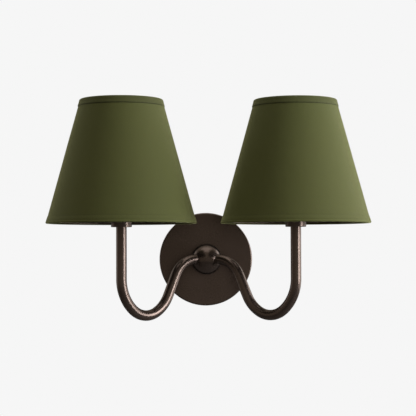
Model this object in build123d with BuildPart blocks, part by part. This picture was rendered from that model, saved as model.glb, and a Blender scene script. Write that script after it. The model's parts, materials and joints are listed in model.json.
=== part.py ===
from build123d import *
from math import cos, sin, tan, radians, degrees, atan2, hypot, sqrt, pi
import os

os.makedirs("parts", exist_ok=True)

# ---------------------------------------------------------------- dimensions
# Millimetres. The wall is the plane Y = 0, the front of the light faces -Y,
# +Z is up, and the origin is the centre of the backplate on the wall.

# backplate
PLATE_R = 58.75
PLATE_DEPTH = 19.0
PLATE_T = 1.4
PLATE_EDGE_R = 1.9
RIM_SCREW_Y = -9.5

# hub
BALL_R = 19.05
BALL_CAVITY_R = 13.0
BALL_Y = -38.5
BALL_FLAT = 16.3
COLLAR_R = 11.0
NIPPLE_R = 4.7
NIPPLE_BORE_R = 3.4
NIPPLE_END_Y = -9.5

# shade axes
AXIS_X = 104.5
AXIS_Y = -117.5
REACH = hypot(AXIS_X, BALL_Y - AXIS_Y)
PHI = atan2(BALL_Y - AXIS_Y, AXIS_X)

# arm tube and its bends, in the arm's own upright plane
TUBE_R = 6.35
TUBE_BORE_R = 4.75
ARM_START = 13.0
ARM_RUN = 18.0
CREST_R, CREST_DEG = 34.5, 64.77
LEG_RUN = 27.6
BOW1_R, BOW1_END_DEG = 42.2, -28.6
BOW2_R, BOW2_END_DEG = 30.9, 40.0
BOW3_R = 48.7
STEM_TOP_Z = 39.0

# socket stack, heights above the hub's axis
CUP_R = 12.5
CUP_T = 1.1
CUP_FLOOR = 1.5
CUP_TOP_Z = 72.0
SOCKET_R = 11.1
SOCKET_BASE_Z = 47.5
SOCKET_FLOOR_Z = 59.0
FLANGE_R = 13.75
FLANGE_TOP_Z = 74.0
THREAD_R = 12.0
SOCKET_TOP_Z = 86.0
SHELL_R = 6.8
SHELL_BORE_R = 6.25
RING_NUT_R = 15.0

# bulb
BULB_BASE_R = 5.95
BULB_TIP_Z = 64.5

# shade
SHADE_BOTTOM_Z = 43.0
SHADE_TOP_Z = 190.9
SHADE_BOTTOM_R = 90.0
SHADE_SLOPE = (90.0 - 51.6) / (183.0 - 43.3)
FABRIC_T = 0.7
LINER_T = 0.5
TAPE_T = 1.0
WIRE_R = 1.25
TOP_TAPE_LOW_Z = 183.0
BOTTOM_TAPE_HIGH_Z = 52.0

# wiring
LEAD_R = 1.05
LEAD_OFFSET = 1.3

SIDES = (("left", -1), ("right", 1))


def shade_r(z):
    """Outer radius of the shade's cone at a height."""
    return SHADE_BOTTOM_R - SHADE_SLOPE * (z - 43.3)


def plane_walk(start, off):
    """Centreline of an arm, or of a lead that runs beside it, in (r, z).

    Returns pieces ("line", p, q) and ("arc", p, middle, q). off is the
    distance to the upper side of the tube's centreline.
    """
    pieces = []
    r, z, h = start, 0.0, 0.0

    def side(r, z, h):
        return (r - off * sin(h), z + off * cos(h))

    def run(length):
        nonlocal r, z
        p = side(r, z, h)
        r, z = r + length * cos(h), z + length * sin(h)
        pieces.append(("line", p, side(r, z, h)))

    def bend(radius, to_deg):
        nonlocal r, z, h
        h1 = radians(to_deg)
        s = 1 if h1 > h else -1
        cr, cz = r - s * radius * sin(h), z + s * radius * cos(h)

        def at(a):
            return (cr + s * radius * sin(a), cz - s * radius * cos(a))

        p = side(*at(h), h)
        m = side(*at((h + h1) / 2), (h + h1) / 2)
        q = side(*at(h1), h1)
        pieces.append(("arc", p, m, q))
        r, z = at(h1)
        h = h1

    run(ARM_RUN - start)
    bend(CREST_R, -CREST_DEG)
    run(LEG_RUN)
    bend(BOW1_R, BOW1_END_DEG)
    bend(BOW2_R, BOW2_END_DEG)
    bend(BOW3_R, 90)
    return pieces, r, z


def to_space(p, sx):
    """A point (r, z) of the left or right arm's plane, in the part's frame."""
    return (sx * p[0] * cos(PHI), BALL_Y - p[0] * sin(PHI), p[1])


_, arm_reach, stem_low = plane_walk(ARM_START, 0.0)
print("arm reach", round(arm_reach, 2), "wanted", round(REACH, 2))
print("stem straight from", round(stem_low, 2), "to", STEM_TOP_Z)


def draw(pieces):
    """Adds the pieces to the line being built."""
    for piece in pieces:
        if piece[0] == "line":
            Line(piece[1], piece[2])
        else:
            ThreePointArc(piece[1], piece[2], piece[3])


def path_length(pieces):
    total = 0
    for piece in pieces:
        if piece[0] == "line":
            total += (Vector(*piece[2]) - Vector(*piece[1])).length
        else:
            total += ThreePointArc(piece[1], piece[2], piece[3], mode=Mode.PRIVATE).length
    return total


def save(builder, name):
    builder.part.label = name
    export_step(builder.part, "parts/" + name + ".step")


def stack_plane(sx):
    """Upright plane through a shade's axis: local x outward, local y up."""
    return Plane(origin=(sx * AXIS_X, AXIS_Y, 0), x_dir=(1, 0, 0), z_dir=(0, -1, 0))


def stack_axis(sx):
    return Axis((sx * AXIS_X, AXIS_Y, 0), (0, 0, 1))


# ================================================================ backplate
# A spun pan: flat face, small round edge, straight rim, open to the wall.
with BuildPart() as backplate:
    with BuildSketch(Plane.XY):
        with BuildLine():
            Polyline(
                (NIPPLE_R + 0.15, -PLATE_DEPTH),
                (PLATE_R - PLATE_EDGE_R, -PLATE_DEPTH),
            )
            RadiusArc(
                (PLATE_R - PLATE_EDGE_R, -PLATE_DEPTH),
                (PLATE_R, -PLATE_DEPTH + PLATE_EDGE_R),
                -PLATE_EDGE_R,
            )
            Polyline(
                (PLATE_R, -PLATE_DEPTH + PLATE_EDGE_R),
                (PLATE_R, 0),
                (PLATE_R - PLATE_T, 0),
                (PLATE_R - PLATE_T, -PLATE_DEPTH + PLATE_EDGE_R),
            )
            RadiusArc(
                (PLATE_R - PLATE_T, -PLATE_DEPTH + PLATE_EDGE_R),
                (PLATE_R - PLATE_EDGE_R, -PLATE_DEPTH + PLATE_T),
                PLATE_EDGE_R - PLATE_T,
            )
            Polyline(
                (PLATE_R - PLATE_EDGE_R, -PLATE_DEPTH + PLATE_T),
                (NIPPLE_R + 0.15, -PLATE_DEPTH + PLATE_T),
                (NIPPLE_R + 0.15, -PLATE_DEPTH),
            )
        make_face()
    revolve(axis=Axis.Y)
    with BuildSketch(Plane.YZ.offset(-PLATE_R - 5)):
        with Locations((RIM_SCREW_Y, 0)):
            Circle(2.2)
    extrude(amount=2 * PLATE_R + 10, mode=Mode.SUBTRACT)
save(backplate, "backplate")

# ======================================================== mounting crossbar
# A steel strap flat on the wall, its two ends bent forward inside the pan.
BAR_T = 2.0
BAR_HALF_LEN = 55.8
BAR_HALF_W = 11.0
TAB_H = 14.0
SLOT_X = 39.7
SLOT_LEN = 16.0
SLOT_R = 2.4
GROUND_X = -20.0
with BuildPart() as mounting_crossbar:
    with BuildSketch(Plane.XY):
        with BuildLine():
            outline = FilletPolyline(
                (-BAR_HALF_LEN, -TAB_H),
                (-BAR_HALF_LEN, 0),
                (BAR_HALF_LEN, 0),
                (BAR_HALF_LEN, -TAB_H),
                radius=3.0,
            )
            Line((BAR_HALF_LEN, -TAB_H), (BAR_HALF_LEN - BAR_T, -TAB_H))
            inner = FilletPolyline(
                (BAR_HALF_LEN - BAR_T, -TAB_H),
                (BAR_HALF_LEN - BAR_T, -BAR_T),
                (-BAR_HALF_LEN + BAR_T, -BAR_T),
                (-BAR_HALF_LEN + BAR_T, -TAB_H),
                radius=1.0,
            )
            Line((-BAR_HALF_LEN + BAR_T, -TAB_H), (-BAR_HALF_LEN, -TAB_H))
        make_face()
    extrude(amount=BAR_HALF_W, both=True)
    # tab corners
    chamfer(
        mounting_crossbar.edges()
        .filter_by(Axis.X)
        .filter_by(lambda e: e.center().Y < -TAB_H + 0.1 and abs(abs(e.center().Z) - BAR_HALF_W) < 0.01),
        length=4.0,
    )
    with BuildSketch(Plane.XZ.offset(-1)):
        with Locations((-SLOT_X, 0), (SLOT_X, 0)):
            SlotOverall(SLOT_LEN, 2 * SLOT_R)
        Circle(5.25)
        with Locations((GROUND_X, 0)):
            Circle(2.0)
    extrude(amount=5, mode=Mode.SUBTRACT)
    with BuildSketch(Plane.YZ.offset(-BAR_HALF_LEN - 5)):
        with Locations((RIM_SCREW_Y, 0)):
            Circle(2.0)
    extrude(amount=2 * BAR_HALF_LEN + 10, mode=Mode.SUBTRACT)
save(mounting_crossbar, "mounting_crossbar")

# ============================================================ plate screws
# Two grub screws in the crossbar's tabs, backed out into the rim's holes.
with BuildPart() as plate_set_screws:
    for sx in (-1, 1):
        with BuildSketch(Plane(origin=(sx * 58.2, RIM_SCREW_Y, 0), x_dir=(0, 1, 0), z_dir=(-sx, 0, 0))):
            Circle(1.92)
        extrude(amount=9.0)
        with BuildSketch(Plane(origin=(sx * 58.2, RIM_SCREW_Y, 0), x_dir=(0, 1, 0), z_dir=(-sx, 0, 0))):
            RegularPolygon(1.0, 6, major_radius=False)
        extrude(amount=3.0, mode=Mode.SUBTRACT)
    chamfer(
        plate_set_screws.edges()
        .filter_by(GeomType.CIRCLE)
        .filter_by(lambda e: abs(abs(e.center().X) - 49.2) < 0.01),
        length=0.6,
    )
save(plate_set_screws, "plate_set_screws")

# ======================================================== ground connection
TERM_T = 0.8
with BuildPart() as ground_screw:
    with BuildSketch(Plane.XZ):
        with Locations((GROUND_X, 0)):
            Circle(1.92)
    extrude(amount=BAR_T + TERM_T)
    with BuildSketch(Plane.XZ.offset(BAR_T + TERM_T)):
        with Locations((GROUND_X, 0)):
            RegularPolygon(3.6, 6, major_radius=False)
    extrude(amount=2.6)
    chamfer(ground_screw.faces().sort_by(Axis.Y)[0].edges(), length=0.5)
    with BuildSketch(Plane.XZ.offset(BAR_T + TERM_T + 2.6)):
        with Locations((GROUND_X, 0)):
            Rectangle(6.0, 1.0)
    extrude(amount=-1.0, mode=Mode.SUBTRACT)
save(ground_screw, "ground_screw")

# hub stack inside the pan, from the pan's inner face towards the wall
PAN_IN_Y = -PLATE_DEPTH + PLATE_T
WASHER_T = 0.8
NUT_T = 3.8
term_y = PAN_IN_Y + WASHER_T
nut_y = term_y + TERM_T

# Each ring terminal is a flat ring with a tongue and a crimped barrel.
A_BARREL_Y = term_y + TERM_T / 2 + 0.9
B_BARREL_Y = -BAR_T - 1.8
with BuildPart() as ground_terminals:
    with BuildSketch(Plane.XZ.offset(-term_y - TERM_T)):
        with Locations((0, 0)):
            Circle(7.2)
        with Locations((-8.5, 0)):
            Rectangle(6.0, 4.0)
        Circle(NIPPLE_R + 0.15, mode=Mode.SUBTRACT)
    extrude(amount=TERM_T)
    with BuildSketch(Plane(origin=(-10.0, A_BARREL_Y, 0), x_dir=(0, 1, 0), z_dir=(-1, 0, 0))):
        Circle(1.75)
    extrude(amount=6.0)
    with BuildSketch(Plane.XZ.offset(BAR_T)):
        with Locations((GROUND_X, 0)):
            Circle(4.2)
        with Locations((GROUND_X - 5.5, 0)):
            Rectangle(4.4, 3.4)
        with Locations((GROUND_X, 0)):
            Circle(2.05, mode=Mode.SUBTRACT)
    extrude(amount=TERM_T)
    with BuildSketch(Plane(origin=(GROUND_X - 6.0, B_BARREL_Y, 0), x_dir=(0, 1, 0), z_dir=(-1, 0, 0))):
        Circle(1.75)
    extrude(amount=5.0)
    # the wire's seat in both barrels
    with BuildSketch(Plane(origin=(-11.0, A_BARREL_Y, 0), x_dir=(0, 1, 0), z_dir=(-1, 0, 0))):
        Circle(1.0)
    extrude(amount=8.0, mode=Mode.SUBTRACT)
    with BuildSketch(Plane(origin=(GROUND_X - 7.0, B_BARREL_Y, 0), x_dir=(0, 1, 0), z_dir=(-1, 0, 0))):
        Circle(1.0)
    extrude(amount=8.0, mode=Mode.SUBTRACT)
save(ground_terminals, "ground_terminals")

turn_x = -33.0
turn_r = (B_BARREL_Y - A_BARREL_Y) / 2
with BuildPart() as ground_lead:
    with BuildLine() as ground_path:
        Line((-11.2, A_BARREL_Y, 0), (turn_x, A_BARREL_Y, 0))
        ThreePointArc(
            (turn_x, A_BARREL_Y, 0),
            (turn_x - turn_r, A_BARREL_Y + turn_r, 0),
            (turn_x, B_BARREL_Y, 0),
        )
        Line((turn_x, B_BARREL_Y, 0), (GROUND_X - 7.2, B_BARREL_Y, 0))
    with BuildSketch(Plane(origin=(-11.2, A_BARREL_Y, 0), x_dir=(0, 1, 0), z_dir=(-1, 0, 0))):
        Circle(0.95)
    sweep(path=ground_path.line)
save(ground_lead, "ground_lead")

# ===================================================================== hub
BALL_CENTRE = (0, BALL_Y, 0)
flat_r = sqrt(BALL_R**2 - BALL_FLAT**2)
PLUG_R = 8.4
# profile plane that hangs below the ball's axis: local x down, local y = Y
BALL_PLANE = Plane(origin=(0, 0, 0), x_dir=(0, 0, -1), z_dir=(1, 0, 0))
with BuildPart() as hub_ball:
    with BuildSketch(BALL_PLANE):
        with BuildLine():
            ThreePointArc(
                (0, BALL_Y - BALL_R),
                (BALL_R, BALL_Y),
                (flat_r, BALL_Y + BALL_FLAT),
            )
            Line((flat_r, BALL_Y + BALL_FLAT), (0, BALL_Y + BALL_FLAT))
            Line((0, BALL_Y + BALL_FLAT), (0, BALL_Y - BALL_R))
        make_face()
    revolve(axis=Axis.Y)
    with BuildSketch(BALL_PLANE):
        with BuildLine():
            ThreePointArc(
                (0, BALL_Y - BALL_CAVITY_R),
                (BALL_CAVITY_R, BALL_Y),
                (0, BALL_Y + BALL_CAVITY_R),
            )
            Line((0, BALL_Y + BALL_CAVITY_R), (0, BALL_Y - BALL_CAVITY_R))
        make_face()
    revolve(axis=Axis.Y, mode=Mode.SUBTRACT)
    # back mouth for the plug
    with BuildSketch(Plane.XZ.offset(-(BALL_Y + BALL_FLAT))):
        Circle(PLUG_R + 0.1)
    extrude(amount=BALL_FLAT, mode=Mode.SUBTRACT)
    # a port for each arm
    for sx in (-1, 1):
        with BuildSketch(Plane(origin=BALL_CENTRE, z_dir=(sx * cos(PHI), -sin(PHI), 0))):
            Circle(TUBE_R + 0.05)
        extrude(amount=BALL_R + 2, mode=Mode.SUBTRACT)
save(hub_ball, "hub_ball")

with BuildPart() as hub_collar:
    with BuildSketch(Plane.XY):
        with BuildLine():
            Polyline(
                (NIPPLE_R + 0.05, -PLATE_DEPTH),
                (COLLAR_R, -PLATE_DEPTH),
                (COLLAR_R, -PLATE_DEPTH - 1.6),
                (COLLAR_R - 1.4, BALL_Y + BALL_FLAT),
                (PLUG_R, BALL_Y + BALL_FLAT),
                (PLUG_R, BALL_Y + BALL_FLAT - 3.2),
                (NIPPLE_R + 0.05, BALL_Y + BALL_FLAT - 3.2),
                (NIPPLE_R + 0.05, -PLATE_DEPTH),
            )
        make_face()
    revolve(axis=Axis.Y)
save(hub_collar, "hub_collar")

with BuildPart() as hub_nipple:
    with BuildSketch(Plane.XY):
        with BuildLine():
            Polyline(
                (NIPPLE_BORE_R, BALL_Y + 12.0),
                (NIPPLE_R - 0.5, BALL_Y + 12.0),
                (NIPPLE_R, BALL_Y + 12.5),
                (NIPPLE_R, NIPPLE_END_Y - 0.5),
                (NIPPLE_R - 0.5, NIPPLE_END_Y),
                (NIPPLE_BORE_R, NIPPLE_END_Y),
                (NIPPLE_BORE_R, BALL_Y + 12.0),
            )
        make_face()
    revolve(axis=Axis.Y)
save(hub_nipple, "hub_nipple")

with BuildPart() as hub_washer:
    with BuildSketch(Plane.XZ.offset(-PAN_IN_Y)):
        Circle(8.6)
        Circle(NIPPLE_R + 0.15, mode=Mode.SUBTRACT)
        with PolarLocations(8.9, 14):
            Circle(0.8, mode=Mode.SUBTRACT)
    extrude(amount=-WASHER_T)
save(hub_washer, "hub_washer")

with BuildPart() as hub_nut:
    with BuildSketch(Plane.XZ.offset(-nut_y)):
        RegularPolygon(7.0, 6, major_radius=False)
        Circle(NIPPLE_R + 0.05, mode=Mode.SUBTRACT)
    extrude(amount=-NUT_T)
    with BuildSketch(Plane.XY):
        with BuildLine():
            Polyline(
                (7.3, nut_y + NUT_T + 0.01),
                (8.6, nut_y + NUT_T + 0.01),
                (8.6, nut_y + NUT_T - 0.9),
                (7.3, nut_y + NUT_T + 0.01),
            )
        make_face()
    revolve(axis=Axis.Y, mode=Mode.SUBTRACT)
save(hub_nut, "hub_nut")

# ==================================================================== arms
for side, sx in SIDES:
    flat, r_end, z_end = plane_walk(ARM_START, 0.0)
    path = [tuple([p[0]] + [to_space(q, sx) for q in p[1:]]) for p in flat]
    path.append(("line", to_space((r_end, z_end), sx), to_space((r_end, STEM_TOP_Z), sx)))
    with BuildPart() as arm:
        with BuildLine() as arm_line:
            draw(path)
        with BuildSketch(Plane(origin=path[0][1], z_dir=(sx * cos(PHI), -sin(PHI), 0))):
            Circle(TUBE_R)
            Circle(TUBE_BORE_R, mode=Mode.SUBTRACT)
        sweep(path=arm_line.line)
    want = path_length(path) * pi * (TUBE_R**2 - TUBE_BORE_R**2)
    print(side, "arm length", round(path_length(path), 1), "volume", round(arm.part.volume), "expected", round(want))
    save(arm, side + "_arm")

# ============================================================ socket stacks
for side, sx in SIDES:
    pl = stack_plane(sx)
    ax = stack_axis(sx)

    # straight-sided cup with a small round lower edge
    with BuildPart() as cup:
        with BuildSketch(pl):
            with BuildLine():
                Polyline((NIPPLE_R + 0.15, STEM_TOP_Z), (CUP_R - 0.8, STEM_TOP_Z))
                RadiusArc((CUP_R - 0.8, STEM_TOP_Z), (CUP_R, STEM_TOP_Z + 0.8), -0.8)
                Polyline(
                    (CUP_R, STEM_TOP_Z + 0.8),
                    (CUP_R, CUP_TOP_Z - 0.1),
                    (CUP_R - CUP_T, CUP_TOP_Z - 0.1),
                    (CUP_R - CUP_T, STEM_TOP_Z + CUP_FLOOR),
                    (NIPPLE_R + 0.15, STEM_TOP_Z + CUP_FLOOR),
                    (NIPPLE_R + 0.15, STEM_TOP_Z),
                )
            make_face()
        revolve(axis=ax)
    save(cup, side + "_socket_cup")

    # moulded lamp holder: body in the cup, flange on its rim, threaded collar
    with BuildPart() as socket_body:
        with BuildSketch(pl):
            with BuildLine():
                pts = [
                    (0, SOCKET_BASE_Z),
                    (SOCKET_R - 1.0, SOCKET_BASE_Z),
                    (SOCKET_R, SOCKET_BASE_Z + 1.0),
                    (SOCKET_R, CUP_TOP_Z),
                    (FLANGE_R, CUP_TOP_Z),
                    (FLANGE_R, FLANGE_TOP_Z),
                    (THREAD_R - 0.7, FLANGE_TOP_Z),
                ]
                z = FLANGE_TOP_Z + 1.6
                while z < SOCKET_TOP_Z - 1.6:
                    pts += [(THREAD_R - 0.7, z), (THREAD_R, z + 0.5), (THREAD_R, z + 0.9), (THREAD_R - 0.7, z + 1.4)]
                    z += 2.0
                pts += [
                    (THREAD_R - 0.7, SOCKET_TOP_Z - 0.5),
                    (THREAD_R - 1.2, SOCKET_TOP_Z),
                    (SHELL_R + 0.1, SOCKET_TOP_Z),
                    (SHELL_R + 0.1, SOCKET_FLOOR_Z),
                    (0, SOCKET_FLOOR_Z),
                    (0, SOCKET_BASE_Z),
                ]
                Polyline(*pts)
            make_face()
        revolve(axis=ax)
        # blind holes for the two leads, in line with the arm's plane
        with BuildSketch(Plane.XY.offset(SOCKET_BASE_Z)):
            with Locations(
                (sx * (AXIS_X + LEAD_OFFSET * cos(PHI)), AXIS_Y - LEAD_OFFSET * sin(PHI)),
                (sx * (AXIS_X - LEAD_OFFSET * cos(PHI)), AXIS_Y + LEAD_OFFSET * sin(PHI)),
            ):
                Circle(LEAD_R + 0.12)
        extrude(amount=6.0, mode=Mode.SUBTRACT)
    save(socket_body, side + "_socket_body")

    # brass screw shell with an inturned foot
    with BuildPart() as shell:
        with BuildSketch(pl):
            with BuildLine():
                Polyline(
                    (SHELL_R, SOCKET_FLOOR_Z + 0.6),
                    (SHELL_R, SOCKET_TOP_Z - 1.0),
                    (SHELL_BORE_R, SOCKET_TOP_Z - 1.0),
                    (SHELL_BORE_R, SOCKET_FLOOR_Z + 1.15),
                    (4.6, SOCKET_FLOOR_Z + 1.15),
                    (4.6, SOCKET_FLOOR_Z + 0.6),
                    (SHELL_R, SOCKET_FLOOR_Z + 0.6),
                )
            make_face()
        revolve(axis=ax)
    save(shell, side + "_screw_shell")

    # springy brass strip: foot on the holder's floor, step up, contact pad
    z0 = SOCKET_FLOOR_Z
    with BuildPart() as contact:
        with BuildSketch(Plane(origin=(sx * AXIS_X, AXIS_Y, 0), x_dir=(1, 0, 0), z_dir=(0, -1, 0))):
            with BuildLine():
                Polyline(
                    (-3.6, z0),
                    (3.4, z0),
                    (3.4, z0 + 1.0),
                    (1.9, z0 + 4.7),
                    (-2.2, z0 + 4.9),
                    (-2.2, z0 + 4.4),
                    (1.6, z0 + 4.2),
                    (2.9, z0 + 1.0),
                    (2.9, z0 + 0.5),
                    (-3.6, z0 + 0.5),
                    (-3.6, z0),
                )
            make_face()
        extrude(amount=1.7, both=True)
    save(contact, side + "_centre_contact")

# nipples, washers and nuts under the two holders
with BuildPart() as cup_nipples:
    for side, sx in SIDES:
        with BuildSketch(stack_plane(sx)):
            with BuildLine():
                Polyline(
                    (NIPPLE_BORE_R, STEM_TOP_Z - 10),
                    (NIPPLE_R - 0.5, STEM_TOP_Z - 10),
                    (NIPPLE_R, STEM_TOP_Z - 9.5),
                    (NIPPLE_R, 46.2),
                    (NIPPLE_R - 0.5, 46.7),
                    (NIPPLE_BORE_R, 46.7),
                    (NIPPLE_BORE_R, STEM_TOP_Z - 10),
                )
            make_face()
        revolve(axis=stack_axis(sx))
save(cup_nipples, "cup_nipples")

CUP_IN_Z = STEM_TOP_Z + CUP_FLOOR
with BuildPart() as cup_washers:
    for side, sx in SIDES:
        with BuildSketch(Plane(origin=(sx * AXIS_X, AXIS_Y, CUP_IN_Z))):
            Circle(7.8)
            Circle(NIPPLE_R + 0.15, mode=Mode.SUBTRACT)
            with PolarLocations(8.1, 12):
                Circle(0.8, mode=Mode.SUBTRACT)
        extrude(amount=WASHER_T)
save(cup_washers, "cup_washers")

with BuildPart() as cup_nuts:
    for side, sx in SIDES:
        with BuildSketch(Plane(origin=(sx * AXIS_X, AXIS_Y, CUP_IN_Z + WASHER_T))):
            RegularPolygon(7.0, 6, major_radius=False)
            Circle(NIPPLE_R + 0.05, mode=Mode.SUBTRACT)
        extrude(amount=NUT_T)
save(cup_nuts, "cup_nuts")

# ============================================================== ring nuts
for side, sx in SIDES:
    z0 = FLANGE_TOP_Z + 0.15 + 1.5 + 0.15
    with BuildPart() as ring_nut:
        with BuildSketch(Plane(origin=(sx * AXIS_X, AXIS_Y, z0))):
            Circle(RING_NUT_R)
            Circle(THREAD_R + 0.3, mode=Mode.SUBTRACT)
            with PolarLocations(RING_NUT_R + 0.65, 24):
                Circle(1.1, mode=Mode.SUBTRACT)
        extrude(amount=6.4)
        with BuildSketch(stack_plane(sx)):
            with BuildLine():
                Polyline(
                    (RING_NUT_R - 1.1, z0 + 6.41),
                    (RING_NUT_R + 0.5, z0 + 6.41),
                    (RING_NUT_R + 0.5, z0 + 5.3),
                    (RING_NUT_R - 1.1, z0 + 6.41),
                )
            make_face()
        revolve(axis=stack_axis(sx), mode=Mode.SUBTRACT)
    save(ring_nut, side + "_ring_nut")

# ================================================================== shades
PANEL_LOW_Z = SHADE_BOTTOM_Z + 0.9
PANEL_HIGH_Z = SHADE_TOP_Z - 0.9
PANEL_T = FABRIC_T + LINER_T
TOP_WIRE_Z = PANEL_HIGH_Z - WIRE_R - 0.3
BOTTOM_WIRE_Z = PANEL_LOW_Z + WIRE_R + 0.3
WIRE_GAP = 0.15
top_wire_r = shade_r(TOP_WIRE_Z) - PANEL_T - WIRE_R - WIRE_GAP
bottom_wire_r = shade_r(BOTTOM_WIRE_Z) - PANEL_T - WIRE_R - WIRE_GAP - 0.05
SPOKE_R = 1.15
SPOKE_ANGLES = (90, 210, 330)
FIT_IN_R = THREAD_R + 0.3
FIT_OUT_R = 16.4
FIT_Z = FLANGE_TOP_Z + 0.15
for side, sx in SIDES:
    pl = stack_plane(sx)
    ax = stack_axis(sx)

    with BuildPart() as fabric:
        with BuildSketch(pl):
            with BuildLine():
                Polyline(
                    (shade_r(PANEL_LOW_Z), PANEL_LOW_Z),
                    (shade_r(PANEL_HIGH_Z), PANEL_HIGH_Z),
                    (shade_r(PANEL_HIGH_Z) - FABRIC_T, PANEL_HIGH_Z),
                    (shade_r(PANEL_LOW_Z) - FABRIC_T, PANEL_LOW_Z),
                    (shade_r(PANEL_LOW_Z), PANEL_LOW_Z),
                )
            make_face()
        revolve(axis=ax)
    save(fabric, side + "_shade_fabric")

    with BuildPart() as liner:
        with BuildSketch(pl):
            with BuildLine():
                a = FABRIC_T + 0.02
                Polyline(
                    (shade_r(PANEL_LOW_Z) - a, PANEL_LOW_Z),
                    (shade_r(PANEL_HIGH_Z) - a, PANEL_HIGH_Z),
                    (shade_r(PANEL_HIGH_Z) - a - LINER_T, PANEL_HIGH_Z),
                    (shade_r(PANEL_LOW_Z) - a - LINER_T, PANEL_LOW_Z),
                    (shade_r(PANEL_LOW_Z) - a, PANEL_LOW_Z),
                )
            make_face()
        revolve(axis=ax)
    save(liner, side + "_shade_liner")

    # tape folded over the top edge and its wire
    t_in = top_wire_r - WIRE_R - WIRE_GAP
    with BuildPart() as top_tape:
        with BuildSketch(pl):
            with BuildLine():
                g = 0.02
                Polyline(
                    (shade_r(TOP_TAPE_LOW_Z) + g, TOP_TAPE_LOW_Z),
                    (shade_r(TOP_TAPE_LOW_Z) + TAPE_T, TOP_TAPE_LOW_Z),
                    (shade_r(PANEL_HIGH_Z) + TAPE_T + 0.55, SHADE_TOP_Z - 1.6),
                    (shade_r(PANEL_HIGH_Z) + TAPE_T - 0.1, SHADE_TOP_Z - 0.5),
                    (shade_r(PANEL_HIGH_Z) + TAPE_T - 1.0, SHADE_TOP_Z),
                    (t_in - 0.1, SHADE_TOP_Z),
                    (t_in - 0.6, SHADE_TOP_Z - 0.5),
                    (t_in - 0.6, TOP_WIRE_Z - 3.5),
                    (t_in, TOP_WIRE_Z - 3.5),
                    (t_in, PANEL_HIGH_Z + g),
                    (shade_r(PANEL_HIGH_Z) + g, PANEL_HIGH_Z + g),
                    (shade_r(TOP_TAPE_LOW_Z) + g, TOP_TAPE_LOW_Z),
                )
            make_face()
        revolve(axis=ax)
    save(top_tape, side + "_top_tape")

    # tape folded over the bottom edge and its wire
    b_in = bottom_wire_r - WIRE_R - WIRE_GAP
    with BuildPart() as bottom_tape:
        with BuildSketch(pl):
            with BuildLine():
                g = 0.02
                Polyline(
                    (shade_r(BOTTOM_TAPE_HIGH_Z) + g, BOTTOM_TAPE_HIGH_Z),
                    (shade_r(BOTTOM_TAPE_HIGH_Z) + TAPE_T, BOTTOM_TAPE_HIGH_Z),
                    (shade_r(PANEL_LOW_Z) + TAPE_T, PANEL_LOW_Z),
                    (shade_r(PANEL_LOW_Z) + TAPE_T - 0.5, SHADE_BOTTOM_Z),
                    (b_in - 0.1, SHADE_BOTTOM_Z),
                    (b_in - 0.6, SHADE_BOTTOM_Z + 0.5),
                    (b_in - 0.6, SHADE_BOTTOM_Z + 1.0),
                    (b_in - 0.1, PANEL_LOW_Z - g),
                    (shade_r(PANEL_LOW_Z) + g, PANEL_LOW_Z - g),
                    (shade_r(BOTTOM_TAPE_HIGH_Z) + g, BOTTOM_TAPE_HIGH_Z),
                )
            make_face()
        revolve(axis=ax)
    save(bottom_tape, side + "_bottom_tape")

    with BuildPart() as top_ring:
        with BuildSketch(pl):
            with Locations((top_wire_r, TOP_WIRE_Z)):
                Circle(WIRE_R)
        revolve(axis=ax)
    save(top_ring, side + "_top_ring")

    # bottom ring, three spokes and the fitter ring, welded into one frame
    with BuildPart() as frame:
        with BuildSketch(pl):
            with Locations((bottom_wire_r, BOTTOM_WIRE_Z)):
                Circle(WIRE_R)
        revolve(axis=ax)
        with BuildSketch(Plane(origin=(sx * AXIS_X, AXIS_Y, FIT_Z))):
            Circle(FIT_OUT_R)
            Circle(FIT_IN_R, mode=Mode.SUBTRACT)
        extrude(amount=1.5)
        for deg in SPOKE_ANGLES:
            a = radians(deg)
            inner_p = Vector(sx * AXIS_X + 15.3 * cos(a), AXIS_Y + 15.3 * sin(a), FIT_Z - 0.75)
            knee_p = Vector(sx * AXIS_X + 27.0 * cos(a), AXIS_Y + 27.0 * sin(a), FIT_Z - 0.75)
            outer_p = Vector(
                sx * AXIS_X + bottom_wire_r * cos(a), AXIS_Y + bottom_wire_r * sin(a), BOTTOM_WIRE_Z
            )
            with BuildLine() as spoke_line:
                FilletPolyline(inner_p, knee_p, outer_p, radius=10.0)
            with BuildSketch(Plane(origin=inner_p, z_dir=knee_p - inner_p)):
                Circle(SPOKE_R)
            sweep(path=spoke_line.line)
    print(side, "frame solids", len(frame.part.solids()))
    save(frame, side + "_shade_frame")

# ==================================================================== bulbs
# outline of the glass in (radius, height): a long candle shape whose last
# stretch is a round tip, tangent to the slope it leaves
glass_pts = [
    (5.55, 85.3),
    (6.1, 87.6),
    (9.2, 92.2),
    (13.9, 100.5),
    (17.0, 111.0),
    (17.5, 118.0),
    (16.3, 129.5),
    (12.6, 142.5),
    (7.6, 153.4),
]
GLASS_T = 0.85
TIP_SLOPE = radians(24.5)


def inset(points, t):
    """The outline moved inwards by the glass's thickness."""
    out = []
    for i, (r, z) in enumerate(points):
        r0, z0 = points[max(i - 1, 0)]
        r1, z1 = points[min(i + 1, len(points) - 1)]
        n = hypot(r1 - r0, z1 - z0)
        if i == 0:
            out.append((r - t, z))
        elif i == len(points) - 1:
            out.append((r - t * cos(TIP_SLOPE), z - t * sin(TIP_SLOPE)))
        else:
            out.append((r - t * (z1 - z0) / n, z + t * (r1 - r0) / n))
    return out


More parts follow.
